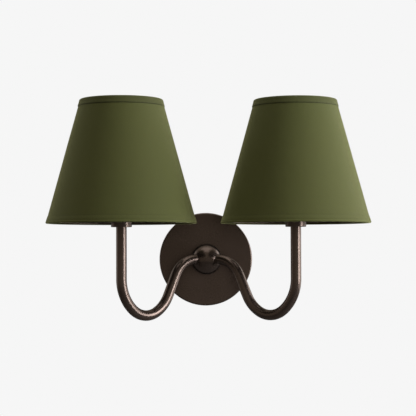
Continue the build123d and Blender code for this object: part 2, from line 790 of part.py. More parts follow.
tip_r = glass_pts[-1][0] / cos(TIP_SLOPE)
tip_z = glass_pts[-1][1] - tip_r * sin(TIP_SLOPE)
half_way = (TIP_SLOPE + radians(90)) / 2
print("bulb top", round(tip_z + tip_r, 2))
for side, sx in SIDES:
    pl = stack_plane(sx)
    ax = stack_axis(sx)
    with BuildPart() as bulb_glass:
        for pts, rad, mode in (
            (glass_pts, tip_r, Mode.ADD),
            (inset(glass_pts, GLASS_T), tip_r - GLASS_T, Mode.SUBTRACT),
        ):
            with BuildSketch(pl):
                with BuildLine():
                    Spline(*pts)
                    ThreePointArc(
                        pts[-1],
                        (rad * cos(half_way), tip_z + rad * sin(half_way)),
                        (0, tip_z + rad),
                    )
                    Line((0, tip_z + rad), (0, pts[0][1]))
                    Line((0, pts[0][1]), pts[0])
                make_face()
            revolve(axis=ax, mode=mode)
    save(bulb_glass, side + "_bulb_glass")

    # rolled brass base, crowned ridges like its thread
    with BuildPart() as bulb_base:
        with BuildSketch(pl):
            with BuildLine():
                pts = [(4.1, 67.4), (4.1, 67.0), (4.6, 67.0), (5.45, 68.6)]
                z = 69.0
                while z < 80.0:
                    pts += [(5.45, z), (BULB_BASE_R, z + 0.75), (BULB_BASE_R, z + 1.05), (5.45, z + 1.8)]
                    z += 2.3
                pts += [(5.45, 82.0), (5.75, 82.6), (5.75, 85.2), (5.0, 85.2), (5.0, 69.3), (4.1, 67.4)]
                Polyline(*pts)
            make_face()
        revolve(axis=ax)
    save(bulb_base, side + "_bulb_base")

    # black insulator ring with the solder button at its centre, two solids
    with BuildPart() as bulb_contact:
        with BuildSketch(pl):
            with BuildLine():
                Polyline((2.0, 66.95), (4.55, 66.95), (3.3, 65.3), (2.0, 65.3), (2.0, 66.95))
            make_face()
        revolve(axis=ax)
        with BuildSketch(pl):
            with BuildLine():
                Polyline((0, 66.9), (1.9, 66.9), (1.9, 65.1), (1.2, BULB_TIP_Z), (0, BULB_TIP_Z), (0, 66.9))
            make_face()
        revolve(axis=ax)
    save(bulb_contact, side + "_bulb_contact")

# ==================================================================== leads
# Each lead is one length: from its connector in the pan, through the hub
# nipple and ball, along the arm, up into the lamp holder's terminal hole.
NIP_X = 1.5
PAN_Y = -6.2
PAN_BEND = 4.2
HUB_BEND = 9.0
LEAD_START_Z = 27.0
turn = radians(90) - PHI
corner_t = NIP_X / cos(PHI)
hub_tan = HUB_BEND * tan(turn / 2)
for side, sx in SIDES:
    u = Vector(sx * cos(PHI), -sin(PHI), 0)
    for name, d in (("live", 1), ("neutral", -1)):
        off = d * LEAD_OFFSET
        corner = Vector(sx * NIP_X, BALL_Y - corner_t * sin(PHI), off)
        a = Vector(corner.X, corner.Y + hub_tan, off)
        b = corner + u * hub_tan
        # middle of the bend inside the ball
        centre = Vector(a.X + sx * HUB_BEND, a.Y, off)
        bis = (a + b) * 0.5 - centre
        mid = centre + bis.normalized() * HUB_BEND
        pieces = [
            ("line", (sx * NIP_X, PAN_Y, d * LEAD_START_Z), (sx * NIP_X, PAN_Y, off + d * PAN_BEND)),
            (
                "arc",
                (sx * NIP_X, PAN_Y, off + d * PAN_BEND),
                (
                    sx * NIP_X,
                    PAN_Y - PAN_BEND + PAN_BEND * cos(radians(45)),
                    off + d * PAN_BEND - d * PAN_BEND * sin(radians(45)),
                ),
                (sx * NIP_X, PAN_Y - PAN_BEND, off),
            ),
            ("line", (sx * NIP_X, PAN_Y - PAN_BEND, off), tuple(a)),
            ("arc", tuple(a), tuple(mid), tuple(b)),
        ]
        flat, r_end, z_end = plane_walk(corner_t + hub_tan, off)
        space = [tuple([p[0]] + [to_space(q, sx) for q in p[1:]]) for p in flat]
        pieces += space
        last = space[-1][-1]
        pieces.append(("line", last, (last[0], last[1], SOCKET_BASE_Z + 5.0)))
        with BuildPart() as lead:
            with BuildLine() as lead_line:
                draw(pieces)
            with BuildSketch(Plane(origin=pieces[0][1], x_dir=(1, 0, 0), z_dir=(0, 0, -d))):
                Circle(LEAD_R)
            sweep(path=lead_line.line)
        length = path_length(pieces)
        print(
            side, name, "lead length", round(length, 1), "volume", round(lead.part.volume),
            "expected", round(length * pi * LEAD_R**2),
        )
        save(lead, side + "_" + name + "_lead")

# twist-on connectors, one above and one below the crossbar
for name, d in (("live", 1), ("neutral", -1)):
    cp = Plane(origin=(0, -7.0, 0), x_dir=(1, 0, 0), z_dir=(0, -1, 0))
    with BuildPart() as connector:
        with BuildSketch(cp):
            with BuildLine():
                Polyline(
                    (3.1, d * 16.5),
                    (5.3, d * 16.5),
                    (5.3, d * 18.5),
                    (4.9, d * 20.0),
                    (3.6, d * 34.0),
                    (2.4, d * 35.5),
                    (0, d * 35.5),
                    (0, d * 29.0),
                    (3.1, d * 29.0),
                    (3.1, d * 16.5),
                )
            make_face()
        revolve(axis=Axis((0, -7.0, 0), (0, 0, 1)))
            # finger flutes
        with BuildSketch(Plane(origin=(0, -7.0, d * 18.6), z_dir=(0, 0, d))):
            with PolarLocations(5.35, 12):
                Circle(0.75)
        extrude(amount=9.0, mode=Mode.SUBTRACT)
    print(name, "connector solids", len(connector.part.solids()))
    save(connector, name + "_connector")
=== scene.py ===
import bpy
import bmesh
import json
from math import atan2, cos, degrees, exp, hypot, pi, radians, sin, sqrt, tan
from mathutils import Matrix, Vector


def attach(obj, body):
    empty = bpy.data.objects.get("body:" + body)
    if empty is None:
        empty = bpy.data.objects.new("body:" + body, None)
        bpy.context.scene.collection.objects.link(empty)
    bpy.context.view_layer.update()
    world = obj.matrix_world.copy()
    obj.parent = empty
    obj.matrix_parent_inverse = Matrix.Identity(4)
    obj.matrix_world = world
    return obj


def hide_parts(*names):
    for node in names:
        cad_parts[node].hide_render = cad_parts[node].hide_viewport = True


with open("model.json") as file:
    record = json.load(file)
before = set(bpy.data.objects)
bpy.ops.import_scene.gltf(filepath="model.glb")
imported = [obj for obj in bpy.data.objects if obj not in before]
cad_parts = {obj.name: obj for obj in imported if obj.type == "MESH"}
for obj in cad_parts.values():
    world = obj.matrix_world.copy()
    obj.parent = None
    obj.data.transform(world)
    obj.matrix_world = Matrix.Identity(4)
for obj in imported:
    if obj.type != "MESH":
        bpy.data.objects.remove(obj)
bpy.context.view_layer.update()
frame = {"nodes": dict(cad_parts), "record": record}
nodes = frame["nodes"]
MM = 0.001
SIDES = (("left", -1), ("right", 1))

# the light's own numbers, in millimetres, as the frame has them
AXIS_X = 104.5
AXIS_Y = -117.5
SHADE_BOTTOM_Z = 43.0
SHADE_TOP_Z = 190.9
SLOPE = (90.0 - 51.6) / (183.0 - 43.3)
PANEL_LOW_Z = SHADE_BOTTOM_Z + 0.9
PANEL_HIGH_Z = SHADE_TOP_Z - 0.9
FABRIC_T = 0.7
LINER_T = 0.5
WIRE_R = 1.25
TOP_WIRE_Z = PANEL_HIGH_Z - WIRE_R - 0.3
BOTTOM_WIRE_Z = PANEL_LOW_Z + WIRE_R + 0.3


def shade_r(z):
    return 90.0 - SLOPE * (z - 43.3)


top_wire_r = shade_r(TOP_WIRE_Z) - FABRIC_T - LINER_T - WIRE_R - 0.15
bottom_wire_r = shade_r(BOTTOM_WIRE_Z) - FABRIC_T - LINER_T - WIRE_R - 0.2


# ==================================================================== camera
scene = bpy.context.scene
cam_data = bpy.data.cameras.new("camera")
cam = bpy.data.objects.new("camera", cam_data)
scene.collection.objects.link(cam)
scene.camera = cam
CAM_AT = Vector((-0.0633, -1.761, 0.0073))
CAM_TO = Vector((-0.0009, -0.1175, 0.0617))
cam_data.sensor_width = 36.0
cam_data.lens = 36.0 * 1373.5 / 416.0
cam_data.clip_start = 0.05
cam_data.clip_end = 60.0
cam_data.dof.use_dof = False
cam.location = CAM_AT
aim = (CAM_TO - CAM_AT).to_track_quat("-Z", "Y")
cam.rotation_mode = "QUATERNION"
cam.rotation_quaternion = aim @ Matrix.Rotation(-0.0029, 4, "Z").to_quaternion()

scene.view_settings.view_transform = "Standard"
scene.view_settings.look = "None"
scene.view_settings.exposure = 0.0
scene.view_settings.gamma = 1.0


# ================================================================= node tools
class Tree:
    """A few short calls for building a material's nodes."""

    def __init__(self, material):
        self.t = material.node_tree
        self.t.nodes.clear()
        self.x = -1600

    def add(self, kind, **values):
        n = self.t.nodes.new(kind)
        n.location = (self.x, 0)
        self.x += 60
        for k, v in values.items():
            setattr(n, k, v)
        return n

    def put(self, socket, value):
        if isinstance(value, bpy.types.NodeSocket):
            self.t.links.new(value, socket)
        else:
            socket.default_value = value

    def math(self, op, a, b=None, c=None, clamp=False):
        n = self.add("ShaderNodeMath", operation=op, use_clamp=clamp)
        for i, v in enumerate((a, b, c)):
            if v is not None:
                self.put(n.inputs[i], v)
        return n.outputs[0]

    def noise(self, vector, scale, detail=2.0, rough=0.5, distortion=0.0):
        n = self.add("ShaderNodeTexNoise")
        self.put(n.inputs["Vector"], vector)
        n.inputs["Scale"].default_value = scale
        n.inputs["Detail"].default_value = detail
        n.inputs["Roughness"].default_value = rough
        n.inputs["Distortion"].default_value = distortion
        return n.outputs["Fac"]

    def voronoi(self, vector, scale, feature="F1"):
        n = self.add("ShaderNodeTexVoronoi", feature=feature)
        self.put(n.inputs["Vector"], vector)
        n.inputs["Scale"].default_value = scale
        return n.outputs["Distance"]

    def ramp(self, fac, stops, interpolation="LINEAR"):
        n = self.add("ShaderNodeValToRGB")
        n.color_ramp.interpolation = interpolation
        while len(n.color_ramp.elements) < len(stops):
            n.color_ramp.elements.new(0.5)
        for e, (p, c) in zip(n.color_ramp.elements, stops):
            e.position = p
            e.color = (c, c, c, 1) if isinstance(c, (int, float)) else (*c, 1)
        self.put(n.inputs["Fac"], fac)
        return n.outputs["Color"]

    def span(self, value, lo, hi, to_lo, to_hi):
        n = self.add("ShaderNodeMapRange")
        self.put(n.inputs["Value"], value)
        n.inputs["From Min"].default_value = lo
        n.inputs["From Max"].default_value = hi
        n.inputs["To Min"].default_value = to_lo
        n.inputs["To Max"].default_value = to_hi
        return n.outputs["Result"]

    def mix(self, fac, a, b, blend="MIX"):
        n = self.add("ShaderNodeMix", data_type="RGBA", blend_type=blend)
        self.put(n.inputs[0], fac)
        for s, v in ((n.inputs[6], a), (n.inputs[7], b)):
            self.put(s, (*v, 1) if isinstance(v, tuple) and len(v) == 3 else v)
        return n.outputs[2]

    def bump(self, height, distance, strength=1.0, normal=None):
        n = self.add("ShaderNodeBump")
        n.inputs["Strength"].default_value = strength
        n.inputs["Distance"].default_value = distance
        self.put(n.inputs["Height"], height)
        if normal is not None:
            self.put(n.inputs["Normal"], normal)
        return n.outputs["Normal"]

    def coord(self, name="Object"):
        return self.add("ShaderNodeTexCoord").outputs[name]

    def uv(self, name):
        return self.add("ShaderNodeUVMap", uv_map=name).outputs["UV"]

    def scaled(self, vector, scale):
        n = self.add("ShaderNodeMapping")
        self.put(n.inputs["Vector"], vector)
        n.inputs["Scale"].default_value = scale
        return n.outputs["Vector"]

    def edge(self, radius):
        """1 on rounded edges and corners, 0 on flats."""
        b = self.add("ShaderNodeBevel", samples=6)
        b.inputs["Radius"].default_value = radius
        g = self.add("ShaderNodeNewGeometry")
        d = self.add("ShaderNodeVectorMath", operation="DOT_PRODUCT")
        self.put(d.inputs[0], b.outputs["Normal"])
        self.put(d.inputs[1], g.outputs["Normal"])
        return self.span(d.outputs["Value"], 0.97, 0.82, 0.0, 1.0)

    def end(self, **sockets):
        """Principled shader with the given sockets."""
        p = self.add("ShaderNodeBsdfPrincipled")
        o = self.add("ShaderNodeOutputMaterial")
        for k, v in sockets.items():
            name = k.replace("_", " ")
            if name not in p.inputs:
                raise RuntimeError("no socket " + name)
            if isinstance(v, tuple) and len(v) == 3 and name.endswith(("Color", "Tint")):
                v = (*v, 1)
            self.put(p.inputs[name], v)
        self.t.links.new(p.outputs["BSDF"], o.inputs["Surface"])
        return p


def new_material(name):
    m = bpy.data.materials.new(name)
    m.use_nodes = True
    return m, Tree(m)


# ================================================================== materials
def bronze(name="dark_bronze", painted_shade_span=None):
    """Dark brown-black patina over brass, hand rubbed: satin, faintly clouded, worn lighter on edges.
    The last argument is (near, far) along Y: from near to far, and on towards the wall, the colour darkens to near
    black. This is painted shade on the ball where it sits against the backplate."""
    m, t = new_material(name)
    p = t.coord()
    cloud = t.noise(p, 26.0, 4.0, 0.55, 0.3)
    fine = t.noise(p, 2100.0, 3.0, 0.6)
    body = t.mix(t.span(cloud, 0.30, 0.70, 0.0, 1.0), (0.103, 0.073, 0.060), (0.116, 0.083, 0.069))
    body = t.mix(t.span(fine, 0.55, 0.80, 0.0, 0.10), body, (0.150, 0.108, 0.090))
    worn = t.math("MULTIPLY", t.edge(0.0005), t.span(t.noise(p, 160.0, 3.0, 0.7), 0.40, 0.62, 0.15, 1.0))
    colour = t.mix(t.math("MULTIPLY", worn, 0.40), body, (0.24, 0.170, 0.130))
    if painted_shade_span is not None:
        split = t.add("ShaderNodeSeparateXYZ")
        t.put(split.inputs[0], p)
        depth = t.math("ADD", split.outputs[1], t.math("MULTIPLY", t.math("SUBTRACT", cloud, 0.5), 0.002))
        # painted shade: the colour turns near black on the ball's back, where it sits against the backplate
        colour = t.mix(t.span(depth, painted_shade_span[0], painted_shade_span[1], 0.0, 1.0), colour, (0.012, 0.009, 0.007))
    rough = t.math("ADD", t.span(cloud, 0.3, 0.7, 0.255, 0.300), t.span(fine, 0.3, 0.7, -0.010, 0.012))
    n = t.bump(t.noise(p, 2400.0, 2.0, 0.5), 0.0000012, 0.4)
    t.end(Base_Color=colour, Metallic=0.82, Roughness=rough, Normal=n, Specular_IOR_Level=0.5,
          Coat_Weight=0.06, Coat_Roughness=0.22)
    return m


def plain_metal(name, dark, light, rough, scale=60.0, brushed=(1.0, 1.0, 1.0), bump=0.00002):
    m, t = new_material(name)
    p = t.coord()
    cloud = t.noise(p, scale, 4.0, 0.6)
    streak = t.noise(t.scaled(p, brushed), 1500.0, 2.0, 0.6)
    colour = t.mix(t.span(cloud, 0.3, 0.7, 0.0, 1.0), dark, light)
    colour = t.mix(t.math("MULTIPLY", t.edge(0.0004), 0.35), colour, tuple(min(1.0, c * 1.3) for c in light))
    r = t.math("ADD", t.span(cloud, 0.3, 0.7, rough - 0.05, rough + 0.06), t.span(streak, 0.3, 0.7, -0.03, 0.04))
    t.end(Base_Color=colour, Metallic=1.0, Roughness=r, Normal=t.bump(streak, bump, 0.5))
    return m


def moulded(name, dark, light, rough, grain=900.0, bump=0.00003, **more):
    m, t = new_material(name)
    p = t.coord()
    cloud = t.noise(p, 70.0, 3.0, 0.5)
    grit = t.noise(p, grain, 3.0, 0.6)
    colour = t.mix(t.span(cloud, 0.3, 0.7, 0.0, 1.0), dark, light)
    colour = t.mix(t.math("MULTIPLY", t.edge(0.0004), 0.25), colour, tuple(min(1.0, c * 1.5 + 0.02) for c in light))
    r = t.math("ADD", t.span(cloud, 0.3, 0.7, rough - 0.05, rough + 0.05), t.span(grit, 0.3, 0.7, -0.04, 0.05))
    t.end(Base_Color=colour, Roughness=r, Normal=t.bump(grit, bump, 0.5), **more)
    return m


WEAVE_MAP = "ClothMap"   # flat-pattern place of each point, one unit to MAP_SIZE metres
MAP_SIZE = 0.62


def cloth(name, tint=1.0, pitch=0.00042, nap=1.0, edge_shadow_width=0.0, edge_shadow_depth=0.70, painted_highlight_span=None):
    """Close plain weave of fine cotton: warp and weft threads, slubs, a soft bloom at grazing angles.
    edge_shadow_width is the width, in metres, of a painted shadow line along a tape's outer edge where it meets the
    panel, and edge_shadow_depth sets how dark that line is.
    painted_highlight_span is the stretch of a tape's width, in metres, painted paler as a highlight where the tape
    rolls round the wire."""
    m, t = new_material(name)
    at = t.uv(WEAVE_MAP)
    split = t.add("ShaderNodeSeparateXYZ")
    t.put(split.inputs[0], at)
    u = t.math("MULTIPLY", split.outputs[0], MAP_SIZE / pitch)
    v = t.math("MULTIPLY", split.outputs[1], MAP_SIZE / pitch)
    # over and under, thread by thread
    su = t.math("SINE", t.math("MULTIPLY", u, pi))
    sv = t.math("SINE", t.math("MULTIPLY", v, pi))
    au, av = t.math("ABSOLUTE", su), t.math("ABSOLUTE", sv)
    fu, fv = t.math("FLOOR", u), t.math("FLOOR", v)
    parity = t.math("MODULO", t.math("ABSOLUTE", t.math("ADD", fu, fv)), 2.0)
    over = t.math("MULTIPLY", au, t.math("ADD", 0.62, t.math("MULTIPLY", av, 0.38)))
    under = t.math("MULTIPLY", av, t.math("ADD", 0.62, t.math("MULTIPLY", au, 0.38)))
    mixer = t.add("ShaderNodeMix", data_type="FLOAT")
    t.put(mixer.inputs[0], parity)
    t.put(mixer.inputs[2], over)
    t.put(mixer.inputs[3], under)
    weave = mixer.outputs[0]
    # each thread has its own tone, and is thicker here and there
    warp = t.noise(t.scaled(at, (MAP_SIZE / pitch * 0.5, MAP_SIZE * 22.0, 1.0)), 1.0, 2.0, 0.6)
    weft = t.noise(t.scaled(at, (MAP_SIZE * 22.0, MAP_SIZE / pitch * 0.5, 1.0)), 1.0, 2.0, 0.6)
    threads = t.math("MULTIPLY", t.math("ADD", warp, weft), 0.5)
    broad = t.noise(t.coord(), 9.0, 3.0, 0.5)
    base = tuple(c * tint for c in (0.0735, 0.0795, 0.0180))
    dark = tuple(c * 0.93 for c in base)
    light = tuple(min(1.0, c * 1.06) for c in base)
    colour = t.mix(t.span(threads, 0.36, 0.64, 0.0, 1.0), dark, light)
    colour = t.mix(t.span(weave, 0.0, 0.9, 0.30, 0.0), colour, tuple(c * 0.55 for c in base))
    colour = t.mix(t.span(broad, 0.35, 0.65, 0.0, 0.22), colour, tuple(c * k for c, k in zip(base, (1.08, 0.98, 0.92))))
    # painted shadow: a dark line along the tape's outer edge, where the tape steps onto the panel
    if edge_shadow_width > 0:
        line = t.span(t.math("MULTIPLY", split.outputs[1], MAP_SIZE), edge_shadow_width * 0.4, edge_shadow_width, 1.0, 0.0)
        colour = t.mix(t.math("MULTIPLY", line, edge_shadow_depth), colour, tuple(c * 0.30 for c in base))
    # painted highlight: a paler band across the tape where it rolls round the wire
    if painted_highlight_span is not None:
        run = t.math("MULTIPLY", split.outputs[1], MAP_SIZE)
        rise = t.math("MULTIPLY", t.span(run, painted_highlight_span[0], painted_highlight_span[0] + 0.0009, 0.0, 1.0),
                      t.span(run, painted_highlight_span[1] - 0.0009, painted_highlight_span[1], 1.0, 0.0))
        colour = t.mix(t.math("MULTIPLY", rise, 0.70), colour, tuple(c * 1.28 for c in base))
    height = t.math("ADD", weave, t.math("MULTIPLY", threads, 0.8))
    n = t.bump(height, 0.00009 * nap, 0.55)
    n = t.bump(t.noise(t.coord(), 55.0, 3.0, 0.5), 0.0004, 0.05 * nap, n)
    rough = t.span(threads, 0.3, 0.7, 0.76, 0.88)
    t.end(Base_Color=colour, Roughness=rough, Normal=n, Specular_IOR_Level=0.34,
          Sheen_Weight=0.68, Sheen_Roughness=0.32, Sheen_Tint=(0.62, 0.64, 0.30))
    return m


def lining():
    """Smooth card-backed lining, nearly black inside, with a faint fibre."""
    m, t = new_material("shade_lining")
    p = t.coord()
    fibre = t.noise(t.scaled(p, (1.0, 1.0, 0.3)), 900.0, 3.0, 0.6)
    cloud = t.noise(p, 25.0, 3.0, 0.5)
    colour = t.mix(t.span(cloud, 0.3, 0.7, 0.0, 1.0), (0.030, 0.027, 0.020), (0.040, 0.036, 0.027))
    colour = t.mix(t.span(fibre, 0.55, 0.75, 0.0, 0.4), colour, (0.060, 0.055, 0.042))
    t.end(Base_Color=colour, Roughness=t.span(fibre, 0.3, 0.7, 0.62, 0.75), Normal=t.bump(fibre, 0.00003, 0.4),
          Specular_IOR_Level=0.3)
    return m


def opal():
    """Lamp glass with a fine white powder inside."""
    m, t = new_material("opal_glass")
    p = t.coord()
    cloud = t.noise(p, 45.0, 3.0, 0.5)
    powder = t.noise(p, 1400.0, 2.0, 0.5)
    colour = t.mix(t.span(cloud, 0.3, 0.7, 0.0, 1.0), (0.86, 0.855, 0.83), (0.92, 0.915, 0.895))
    colour = t.mix(t.span(powder, 0.5, 0.8, 0.0, 0.25), colour, (0.96, 0.96, 0.95))
    t.end(Base_Color=colour, Roughness=t.span(powder, 0.3, 0.7, 0.10, 0.16), Normal=t.bump(cloud, 0.00008, 0.15),
          Coat_Weight=0.6, Coat_Roughness=0.06, Subsurface_Weight=0.25, Subsurface_Radius=(0.003, 0.003, 0.0028))
    return m


def insulator():
    """Black glass bead of the lamp cap with its tinned solder button at the centre."""
    m, t = new_material("bulb_contact")
    p = t.coord()
    split = t.add("ShaderNodeSeparateXYZ")
    t.put(split.inputs[0], p)
    dx = t.math("SUBTRACT", t.math("ABSOLUTE", split.outputs[0]), AXIS_X * MM)
    dy = t.math("SUBTRACT", split.outputs[1], AXIS_Y * MM)
    r = t.math("SQRT", t.math("ADD", t.math("MULTIPLY", dx, dx), t.math("MULTIPLY", dy, dy)))
    button = t.math("LESS_THAN", r, 0.00195)
    grit = t.noise(p, 1200.0, 3.0, 0.6)
    glass = t.mix(t.span(grit, 0.3, 0.7, 0.0, 1.0), (0.012, 0.011, 0.014), (0.022, 0.020, 0.026))
    solder = t.mix(t.span(grit, 0.3, 0.7, 0.0, 1.0), (0.52, 0.52, 0.51), (0.68, 0.68, 0.66))
    t.end(Base_Color=t.mix(button, glass, solder), Metallic=button, Roughness=t.span(grit, 0.3, 0.7, 0.18, 0.34),
          Normal=t.bump(grit, 0.00004, 0.4))
    return m


def thread_bumps(name, dark, light, rough, pitch, z0):
    """Rolled metal: the base tone with fine drawn lines round it."""
    m, t = new_material(name)
    p = t.coord()
    cloud = t.noise(p, 90.0, 4.0, 0.6)
    lines = t.noise(t.scaled(p, (0.15, 0.15, 6.0)), 900.0, 2.0, 0.6)
    colour = t.mix(t.span(cloud, 0.3, 0.7, 0.0, 1.0), dark, light)
    r = t.math("ADD", t.span(cloud, 0.3, 0.7, rough - 0.05, rough + 0.08), t.span(lines, 0.3, 0.7, -0.04, 0.05))
    t.end(Base_Color=colour, Metallic=1.0, Roughness=r, Normal=t.bump(lines, 0.00002, 0.5))
    return m


made = {
    "dark_bronze": bronze(),
    "zinc_steel": plain_metal("zinc_steel", (0.52, 0.53, 0.55), (0.66, 0.67, 0.70), 0.32, 80.0, (0.1, 1.0, 1.0)),
    "green_zinc": plain_metal("green_zinc", (0.05, 0.22, 0.09), (0.09, 0.33, 0.14), 0.30),
    "tinned_copper": plain_metal("tinned_copper", (0.60, 0.57, 0.53), (0.74, 0.72, 0.68), 0.28),
    "green_insulation": moulded("green_insulation", (0.030, 0.20, 0.055), (0.045, 0.27, 0.075), 0.38),
    "black_insulation": moulded("black_insulation", (0.014, 0.014, 0.014), (0.024, 0.024, 0.023), 0.40),
    "white_insulation": moulded("white_insulation", (0.70, 0.69, 0.66), (0.78, 0.77, 0.75), 0.40),
    "black_phenolic": moulded("black_phenolic", (0.016, 0.014, 0.013), (0.030, 0.027, 0.025), 0.42, 700.0, 0.00004),
    "brass": plain_metal("brass", (0.60, 0.42, 0.16), (0.74, 0.55, 0.25), 0.27, 90.0, (0.2, 0.2, 3.0)),
    "olive_fabric": cloth("olive_fabric"),
    "olive_tape": cloth("olive_tape", tint=0.98, pitch=0.00045, nap=1.1, edge_shadow_width=0.0011, edge_shadow_depth=0.22, painted_highlight_span=(0.0066, 0.0090)),
    "shade_lining": lining(),
    "wire_steel": plain_metal("wire_steel", (0.095, 0.072, 0.058), (0.14, 0.105, 0.085), 0.38, 70.0),
    "opal_glass": opal(),
    "bulb_metal": thread_bumps("bulb_metal", (0.60, 0.58, 0.54), (0.74, 0.72, 0.68), 0.24, 0.0023, 0.069),
    "bulb_contact": insulator(),
    "connector_plastic": moulded("connector_plastic", (0.60, 0.20, 0.020), (0.72, 0.27, 0.035), 0.36, 500.0, 0.00004),
}

# the olive tape again, tinted darker as painted shade for the top tape, with a strong painted shadow line along its
# outer edge
top_tape_painted_shade = cloth("olive_tape_top_painted_shade", tint=0.80, pitch=0.00045, nap=1.1, edge_shadow_width=0.0011)
# the ball's bronze, with painted shade on its back towards the backplate
ball_bronze_painted_shade = bronze("dark_bronze_ball_painted_shade", painted_shade_span=(-0.0480, -0.0452))

slot_of = {s["node"]: s["material_slot"] for s in frame["record"]["subparts"]}
for name, ob in nodes.items():
    ob.data.materials.clear()
    ob.data.materials.append(ball_bronze_painted_shade if name == "hub_ball" else made[slot_of[name]])


# ===================================================================== arms
# the bent tubes, as smooth meshes on the same centreline as the solids
BALL_Y = -38.5
TUBE_R, TUBE_BORE_R = 6.35, 4.75
ARM_START, ARM_RUN, LEG_RUN, STEM_TOP_Z = 13.0, 18.0, 27.6, 39.0
BENDS = ((34.5, -64.77), None, (42.2, -28.6), (30.9, 40.0), (48.7, 90.0))
PHI = atan2(BALL_Y - AXIS_Y, AXIS_X)


def arm_line():
    """Points and headings (r, z, h) along an arm, in its own upright plane."""
    out = [(ARM_START, 0.0, 0.0), (ARM_RUN, 0.0, 0.0)]
    r, z, h = ARM_RUN, 0.0, 0.0
    for bend in BENDS:
        if bend is None:
            r, z = r + LEG_RUN * cos(h), z + LEG_RUN * sin(h)
            out.append((r, z, h))
            continue
        radius, h1 = bend[0], radians(bend[1])
        s = 1 if h1 > h else -1
        cr, cz = r - s * radius * sin(h), z + s * radius * cos(h)
        k = max(6, int(abs(h1 - h) * radius / 0.9))
        for i in range(1, k + 1):
            a = h + (h1 - h) * i / k
            out.append((cr + s * radius * sin(a), cz - s * radius * cos(a), a))
        r, z, h = out[-1]
    out.append((r, STEM_TOP_Z, h))
    return out


def arm_tube(name, sx, segments=96):
    """Outer wall and bore of one arm, joined by a ring at each end."""
    me = bpy.data.meshes.new(name)
    bm = bmesh.new()
    along = Vector((sx * cos(PHI), -sin(PHI), 0.0))
    across = Vector((sx * sin(PHI), cos(PHI), 0.0))
    base = Vector((0.0, BALL_Y, 0.0))
    walls = []
    for radius in (TUBE_R, TUBE_BORE_R):
        rings = []
        for r, z, h in arm_line():
            centre = base + along * r + Vector((0, 0, z))
            lift = along * -sin(h) + Vector((0, 0, cos(h)))
            rings.append([bm.verts.new((centre + radius * (cos(a) * lift + sin(a) * across)) * MM)
                          for a in (2 * pi * i / segments for i in range(segments))])
        walls.append(rings)
    for rings in walls:
        for one, two in zip(rings, rings[1:]):
            for i in range(segments):
                j = (i + 1) % segments
                bm.faces.new((one[i], one[j], two[j], two[i])).smooth = True
    for end in (0, -1):
        for i in range(segments):
            j = (i + 1) % segments
            bm.faces.new((walls[0][end][i], walls[0][end][j], walls[1][end][j], walls[1][end][i]))
    bmesh.ops.recalc_face_normals(bm, faces=bm.faces)
    for e in bm.edges:
        if len(e.link_faces) == 2 and any(not f.smooth for f in e.link_faces):
            e.smooth = False
    bm.to_mesh(me)
    bm.free()
    ob = bpy.data.objects.new(name, me)
    scene.collection.objects.link(ob)
    return ob


for side, sx in SIDES:
    tube = arm_tube(side + "_arm_tube", sx)
    tube.data.materials.append(made["dark_bronze"])
    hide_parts(side + "_arm")
    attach(tube, "root")


# ============================================================== cloth pieces
def flat_place(angle, r):
    """Where a point of the cone lies on the flat cut, in metres, with 0, 0 at a corner of the map."""
    sin_a = SLOPE / sqrt(1 + SLOPE * SLOPE)
    rho, psi = r / sin_a, (angle - pi) * sin_a
    return (rho * sin(psi) * MM + 0.31, rho * cos(psi) * MM - 0.08)


def strip_place(angle, run, r):
    return (angle * r * MM / 1.0, run * MM)


def ripple(angle, z, size, seed):
    """A smooth, small, repeatable unevenness round a ring."""
    return size * (
        0.42 * sin(3 * angle + 1.3 * seed + 0.031 * z)
        + 0.27 * sin(5 * angle - 2.1 * seed + 0.047 * z)
        + 0.19 * sin(11 * angle + 0.7 * seed - 0.09 * z)
        + 0.12 * sin(23 * angle + 2.9 * seed + 0.13 * z)
    )


def smooth(x):
    x = min(1.0, max(0.0, x))
    return x * x * (3 - 2 * x)


def ring_piece(name, profile, sx, count, shift, place):
    """A closed ring of cloth: profile is a closed loop of (r, z, side, run), shift moves a point out along r, place gives its map."""
    me = bpy.data.meshes.new(name)
    bm = bmesh.new()
    rows = []
    for i in range(count):
        a = 2 * pi * i / count
        row = []
        for r, z, side, run in profile:
            rr = r + shift(a, z, side, run)
            row.append(bm.verts.new(((sx * AXIS_X + rr * sin(a)) * MM, (AXIS_Y + rr * cos(a)) * MM, z * MM)))
        rows.append(row)
    uv = bm.loops.layers.uv.new(WEAVE_MAP)
    n = len(profile)
    for i in range(count):
        j = (i + 1) % count
        a0, a1 = 2 * pi * i / count, 2 * pi * (i + 1) / count
        for k in range(n):
            l = (k + 1) % n
            f = bm.faces.new((rows[i][k], rows[i][l], rows[j][l], rows[j][k]))
            f.smooth = True
            for loop, (a, q) in zip(f.loops, ((a0, k), (a0, l), (a1, l), (a1, k))):
                x, y = place(a, *profile[q])
                loop[uv].uv = (x / MAP_SIZE, y / MAP_SIZE)
    bmesh.ops.recalc_face_normals(bm, faces=bm.faces)
    for e in bm.edges:
        if len(e.link_faces) == 2 and e.calc_face_angle(0.0) > radians(50):
            e.smooth = False
    bm.to_mesh(me)
    bm.free()
    ob = bpy.data.objects.new(name, me)
    scene.collection.objects.link(ob)
    return ob


def panel_profile(z_low, z_high, t, steps):
    """The panel's section: up the outside, across the top end, down the inside."""
    out = []
    for i in range(steps + 1):
        z = z_low + (z_high - z_low) * i / steps
        out.append((shade_r(z), z, 1.0, z))
    for i in range(steps, -1, -1):
        z = z_low + (z_high - z_low) * i / steps
        out.append((shade_r(z) - t, z, 0.0, z))
    return out


